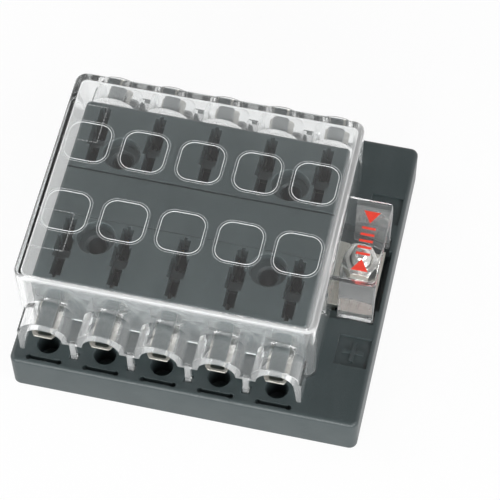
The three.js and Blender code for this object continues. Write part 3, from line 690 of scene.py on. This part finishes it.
def strip_outline(points, t, radius=0.7, seg=5):
    """A bent strip seen edge-on: its middle line, thickened, with rounded bends."""
    mid = [Vector(points[0])]
    for a, b, c in zip(points, points[1:], points[2:]):
        a, b, c = Vector(a), Vector(b), Vector(c)
        u, v = (a - b).normalized(), (c - b).normalized()
        back = radius / tan(u.angle(v) / 2)
        p, q = b + u * back, b + v * back
        for k in range(seg + 1):
            f = k / seg
            mid.append(p * (1 - f) ** 2 + b * 2 * f * (1 - f) + q * f * f)
    mid.append(Vector(points[-1]))
    left, right = [], []
    for i, p in enumerate(mid):
        d = (mid[min(i + 1, len(mid) - 1)] - mid[max(i - 1, 0)]).normalized()
        n = Vector((-d.y, d.x)) * t / 2
        left.append(tuple(p + n))
        right.append(tuple(p - n))
    return left + right[::-1]


def tab_tip(x):
    """The tab's end, drawn in and thinned so that a connector slides on."""
    rings = []
    for y, narrower, half in ((1.4, 0, 0.4), (0.75, 0.1, 0.4), (0, 0.7, 0.2)):
        w = TAB_W / 2 - narrower
        rings.append([(x + a, y - TAB_TIP, TAB_Z + b)
                      for a, b in ((-w, -half), (w, -half), (w, half), (-w, half))])
    return loft("tip", rings)


def load_tab(side, s, i):
    """A way's push-on tab and fuse jaw, which are one bent strip."""
    x = COLS[i]
    wall = 0.1 + TAB_T / 2 - ROOM_Y
    back = 2.3 - (ROW_Y + 6.85)
    foot = 2.4
    low = foot + TAB_T / 2
    outline = strip_outline([(0.9 - TAB_TIP, TAB_Z), (wall, TAB_Z), (wall, low), (back, low)], TAB_T)
    strip = prism(outline, "x", x - TAB_W / 2, x + TAB_W / 2, 0.08, 0.08, 2)
    add(strip, tab_tip(x))
    top = ROOM_TOP - 0.5
    right = [(2.2, foot), (2.2, 4.6), (1.6, 6.9), (0.85, top - 2.3), (1.2, top - 1.2),
             (1.75, top - 0.1), (1.45, top), (1.2, top), (0.7, top - 1.2), (0.25, top - 2.3),
             (1.0, 6.9), (1.6, 4.5), (1.6, 3.2)]
    jaw = [(x + a, b) for a, b in right] + [(x - a, b) for a, b in reversed(right)]
    add(strip, prism(jaw, "y", wall + 0.1, back, 0.1, 0.1, 2))
    cut(strip, post(x, 3.4 - TAB_TIP, 0.9, TAB_Z - 1, TAB_Z + 1, 32))
    if s > 0:
        mirror_y(strip)
    way = f"{side}_{i + 1}"
    done(strip, f"tab_{way}", tinned, "base", [f"load_terminal_{way}"])
    # the strip's part inside the block gets the darker tin: painted shade
    strip.data.materials.append(jaw_tin_painted_shade)
    for face in strip.data.polygons:
        if abs(face.center.y - ORIGIN.y) < 28.2 * MM:
            face.material_index = 1


# ---- moulded base ---------------------------------------------------------------------------------
def fuse_seat(x, y):
    """The slot for a fuse's body, wide in its middle and narrow at its ends, with a deeper
    pocket below each blade."""
    top, deep = BLOCK_H + 1, BLOCK_H - 4.5
    blade = (FUSE_L - 2.9) / 2
    half = FUSE_L / 2
    out = prism([(x - 1.55, y - half), (x + 1.55, y - half), (x + 1.55, y + half),
                 (x - 1.55, y + half)], "z", deep, top)
    add(out, box(x - 2.35, x + 2.35, y - 3.35, y + 3.35, deep, top),
        box(x - 0.55, x + 0.55, y - half - 0.8, y + half + 0.8, deep, top))
    for side in (-1, 1):
        mid = y + side * (2.9 + blade) / 2
        add(out, box(x - 1.55, x + 1.55, mid - blade / 2, mid + blade / 2, BLOCK_H - 7, top))
    return out


def tab_guard(x, s):
    """The tongue over a tab."""
    g, y0, y1 = GUARD_W / 2, s * (BLOCK_D / 2 - 0.5), s * (HOOD_TIP - 0.6)
    outline = [(x - g, y0), (x + g, y0), (x + g, y1 - s * 0.6), (x + g - 0.6, y1),
               (x - g + 0.6, y1), (x - g, y1 - s * 0.6)]
    return prism(outline, "z", GUARD_TOP - 1, GUARD_TOP, 0.12, 0.25)


def tie_slot(x, s):
    """A long slot with round ends in front of a way."""
    y, half = s * (TAB_TIP + 1.9), 4.25
    slot = box(x - half, x + half, y - 0.55, y + 0.55, -2, 1)
    return add(slot, post(x - half, y, 0.8, -2, 1, 20), post(x + half, y, 0.8, -2, 1, 20))


def screw_hole(x, y):
    """A mounting hole right through the panel, countersunk and counterbored for the head."""
    return turned(x, y, [
        (0, -BASE_H - 1), (2.65, -BASE_H - 1), (2.65, BLOCK_H - 4.4), (3.3, BLOCK_H - 3.7),
        (5.05, BLOCK_H - 3.6), (5.1, BLOCK_H - 0.25), (5.4, BLOCK_H + 0.02), (5.4, BLOCK_H + 1),
        (0, BLOCK_H + 1)], 56)


def plus_pad(x, y):
    """A sunk square, in which a plus sign stands up from the floor."""
    pad = box(x - 4.5, x + 4.5, y - 4.6, y + 4.6, -0.7, 1)
    plus = box(x - 3, x + 3, y - 0.55, y + 0.55, -1, -0.2)
    add(plus, box(x - 0.55, x + 0.55, y - 3, y + 3, -1, -0.2))
    return cut(pad, plus)


def way_cuts(x, s):
    """All that is cut into the base at one way."""
    out = [fuse_seat(x, s * ROW_Y)]
    hole = [(0, -8), (2.9, -8), (3, -0.3), (3.25, 0.02), (3.25, 1), (0, 1)]
    out.append(turned(x, s * HOLE_Y, hole, 40))
    out.append(tie_slot(x, s))
    out.append(box(x - TAB_W / 2 - 0.3, x + TAB_W / 2 + 0.3, s * (ROOM_Y - 1),
                   s * (BLOCK_D / 2 + 1), TAB_Z - 0.7, TAB_Z + 0.7))
    # shallow windows in the block's long wall, one on each side of the tab
    for mid in (x - 3.6, x + 3.6):
        out.append(box(mid - 1.2, mid + 1.2, s * (BLOCK_D / 2 - 0.5), s * (BLOCK_D / 2 + 1),
                       TAB_Z + 2.2, BLOCK_H - 2.2))
    return out


def base_moulding():
    wall, deck = 2.2, 2.5
    width, cx = BASE_LEFT + BASE_RIGHT, (BASE_RIGHT - BASE_LEFT) / 2
    body = prism(rounded(width, BASE_D, 2.2, 8, cx, 0), "z", -BASE_H, 0, 0, 1.3, 6)
    inner = BASE_D / 2 - wall
    cut(body, box(-BASE_LEFT + wall, BASE_RIGHT - wall, -inner, inner, -BASE_H - 1, -deck))
    add(body, prism(rounded(BLOCK_W, BLOCK_D, 1.6, 6), "z", -deck, BLOCK_H, 0, 1.1, 5))
    room_x = BLOCK_W / 2 - wall
    cut(body, box(-room_x, room_x, -ROOM_Y, ROOM_Y, -deck - 1, ROOM_TOP))

    rx0, rx1, ry = COVER_W / 2 - COVER_T + 0.2, COVER_W / 2 + 12.2, SHROUD_L / 2 + 1.2
    parts = [box(rx0 - 1.4, BASE_RIGHT - 0.4, -ry - 2, ry + 2, -7.5, -deck + 0.2)]
    screws = [(x, s) for x in (-SCREW_X, SCREW_X) for _, s in SIDES]
    for x, s in screws:
        parts.append(post(x, s * SCREW_Y, 4.25, 2 - BASE_H, ROOM_TOP + 0.5, 32))
    for _, s in SIDES:
        for x in COLS:
            parts.append(post(x, s * HOLE_Y, 4.4, -9, -deck + 0.5, 24))
            parts.append(tab_guard(x, s))
        for x in (-SCREW_X, SCREW_X):
            parts.append(post(x, s * HOLE_Y, 3, 2 - BASE_H, -deck + 0.5, 24))
    for x in (-PITCH / 2, PITCH / 2):
        parts.append(box(x - 0.8, x + 0.8, -ROOM_Y - 0.5, ROOM_Y + 0.5, 4.6, ROOM_TOP + 0.5))
    add(body, *parts)

    away = []
    for _, s in SIDES:
        for x in COLS:
            away += way_cuts(x, s)
        for x in GAPS:
            away.append(box(x - 1.2, x + 1.2, s * (HOOD_TIP - 1.8), s * (HOOD_TIP + 0.5), -1.2, 1))
        for x in (-SCREW_X, SCREW_X):
            away.append(post(x, s * HOLE_Y, 1.15, -BASE_H, -4, 16))
            away.append(screw_hole(x, s * SCREW_Y))
        away.append(plus_pad(STUD_X + 3, s * 23.5))
    half = BLOCK_W / 2 + 1
    away.append(box(-half, half, 6.6, 7.3, BLOCK_H - 0.8, BLOCK_H + 1))
    away.append(box(-half, half, -8.3, -8.0, BLOCK_H - 0.2, BLOCK_H + 1))
    leg, pw = rx0 + 0.6, PLATE_ROOM / 2
    pedestal_x1 = rx1 - 0.8
    recess = box(rx0, rx1, -ry, ry, -3, 1)
    cut(recess, box(leg + 2.7, pedestal_x1, -pw, pw, -4, -2))
    away += [
        recess,
        box(pedestal_x1 + 0.1, BASE_RIGHT - 1.1, 0.2 - pw, pw + 0.1, -5, 1),
        box(rx0, leg + 2.1, -pw - 0.3, pw + 0.3, -8.5, 0),
        box(rx0 - 3, leg + 2.1, -pw - 0.3, pw + 0.3, -8.5, -3.2),
        post(STUD_X, STUD_Y, 4.5, -4.4, 1, 32),
    ]
    cut(body, *away)
    done(body, "base_moulding", charcoal, "base", ["base_housing"], 35)


base_moulding()
clear_cover()
label_lines()
guide_marks()
for side_name, side_sign in SIDES:
    squeeze_arm(side_name, side_sign)
    for way in range(len(COLS)):
        load_tab(side_name, side_sign, way)
press_print()
threaded_stud()
flat_washer()
split_washer()
hex_nut()

CARRIED_OVER = {
    "bottom_cover": underside,
    "feed_plate": champagne,
    # the bus jaws inside the block get the same painted shade
    "bus_jaw": jaw_tin_painted_shade,
    "bus_bar": brass,
    "bus_rivet": zinc,
    "bottom_screw": zinc,
}
for node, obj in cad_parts.items():
    for start, material in CARRIED_OVER.items():
        if node.startswith(start):
            for slot_ in obj.material_slots:
                slot_.material = material

# ---- floor, light and camera -----------------------------------------------------------------------
def pale_floor():
    """Reads as white, and keeps a share of the part's shadow."""
    half, white = 1.6, 0.93
    mesh = bpy.data.meshes.new("floor")
    corners = [(-half, -half, 0), (half, -half, 0), (half, half, 0), (-half, half, 0)]
    mesh.from_pydata(corners, [], [(0, 1, 2, 3)])
    floor = bpy.data.objects.new("floor", mesh)
    floor.location.z = cad_box[0][2] - 0.2 * MM
    bpy.context.scene.collection.objects.link(floor)
    n = Nodes("pale_floor")
    paper = n.new("ShaderNodeBsdfDiffuse", {"Color": (0.9, 0.9, 0.9, 1)}).outputs[0]
    glow = n.new("ShaderNodeEmission", {"Color": (1, 1, 1, 1), "Strength": 1.0}).outputs[0]
    share = n.math("MULTIPLY", n.seen(), white)
    mixed = n.new("ShaderNodeMixShader", {0: share, 1: paper, 2: glow}).outputs[0]
    floor.data.materials.append(n.finish(mixed))


def studio_world():
    """White where it is seen, weaker as light on the part, and dimmer overhead."""
    world = bpy.data.worlds.new("studio")
    bpy.context.scene.world = world
    n = Nodes("studio", world)
    sky = n.tree.nodes["Background"].inputs
    sky["Color"].default_value = (1, 1, 1, 1)
    height = n.xyz(n.new("ShaderNodeTexCoord").outputs["Generated"])[2]
    strength = n.span(n.seen(), 0.55, 1.0, 0, 1)
    overhead = n.span(height, 1.0, 0.35, 0.45, 0.8)
    n.tree.links.new(n.math("MULTIPLY", strength, overhead), sky["Strength"])


def lamp(name, at, aim, size, power):
    data = bpy.data.lights.new(name, "AREA")
    data.shape = "RECTANGLE"
    data.size, data.size_y = size
    data.energy = power
    obj = bpy.data.objects.new(name, data)
    bpy.context.scene.collection.objects.link(obj)
    obj.location = at
    obj.rotation_euler = (Vector(aim) - Vector(at)).to_track_quat("-Z", "Y").to_euler()


def look(at, azimuth, elevation, roll, lens):
    """The camera: where it stands, and its direction from the part, in degrees."""
    data = bpy.data.cameras.new("camera")
    data.lens = lens
    data.sensor_width = 36.0
    data.clip_start, data.clip_end = 0.05, 10
    eye = bpy.data.objects.new("camera", data)
    bpy.context.scene.collection.objects.link(eye)
    azimuth, elevation, roll = radians(azimuth), radians(elevation), radians(roll)
    back = Vector((sin(azimuth) * cos(elevation), -cos(azimuth) * cos(elevation), sin(elevation)))
    level = Vector((cos(azimuth), sin(azimuth), 0))
    upright = back.cross(level)
    right = level * cos(roll) + upright * sin(roll)
    up = -level * sin(roll) + upright * cos(roll)
    eye.matrix_world = Matrix.Translation(at) @ Matrix((right, up, back)).transposed().to_4x4()
    bpy.context.scene.camera = eye


pale_floor()
studio_world()
lamp("key", (0.75, -0.35, 0.55), (0, 0, 0), (0.5, 0.5), 4.5)
lamp("front", (0.0, -0.95, 0.28), (0, 0, 0.01), (1.2, 0.35), 11.0)
lamp("fill", (-0.7, 0.1, 0.5), (0, 0, 0), (0.5, 0.5), 2.2)

look((0.08226, -0.30658, 0.53576), azimuth=13.477, elevation=58.735, roll=-0.923, lens=156.885)
bpy.context.scene.view_settings.view_transform = "Standard"

bpy.context.view_layer.update()
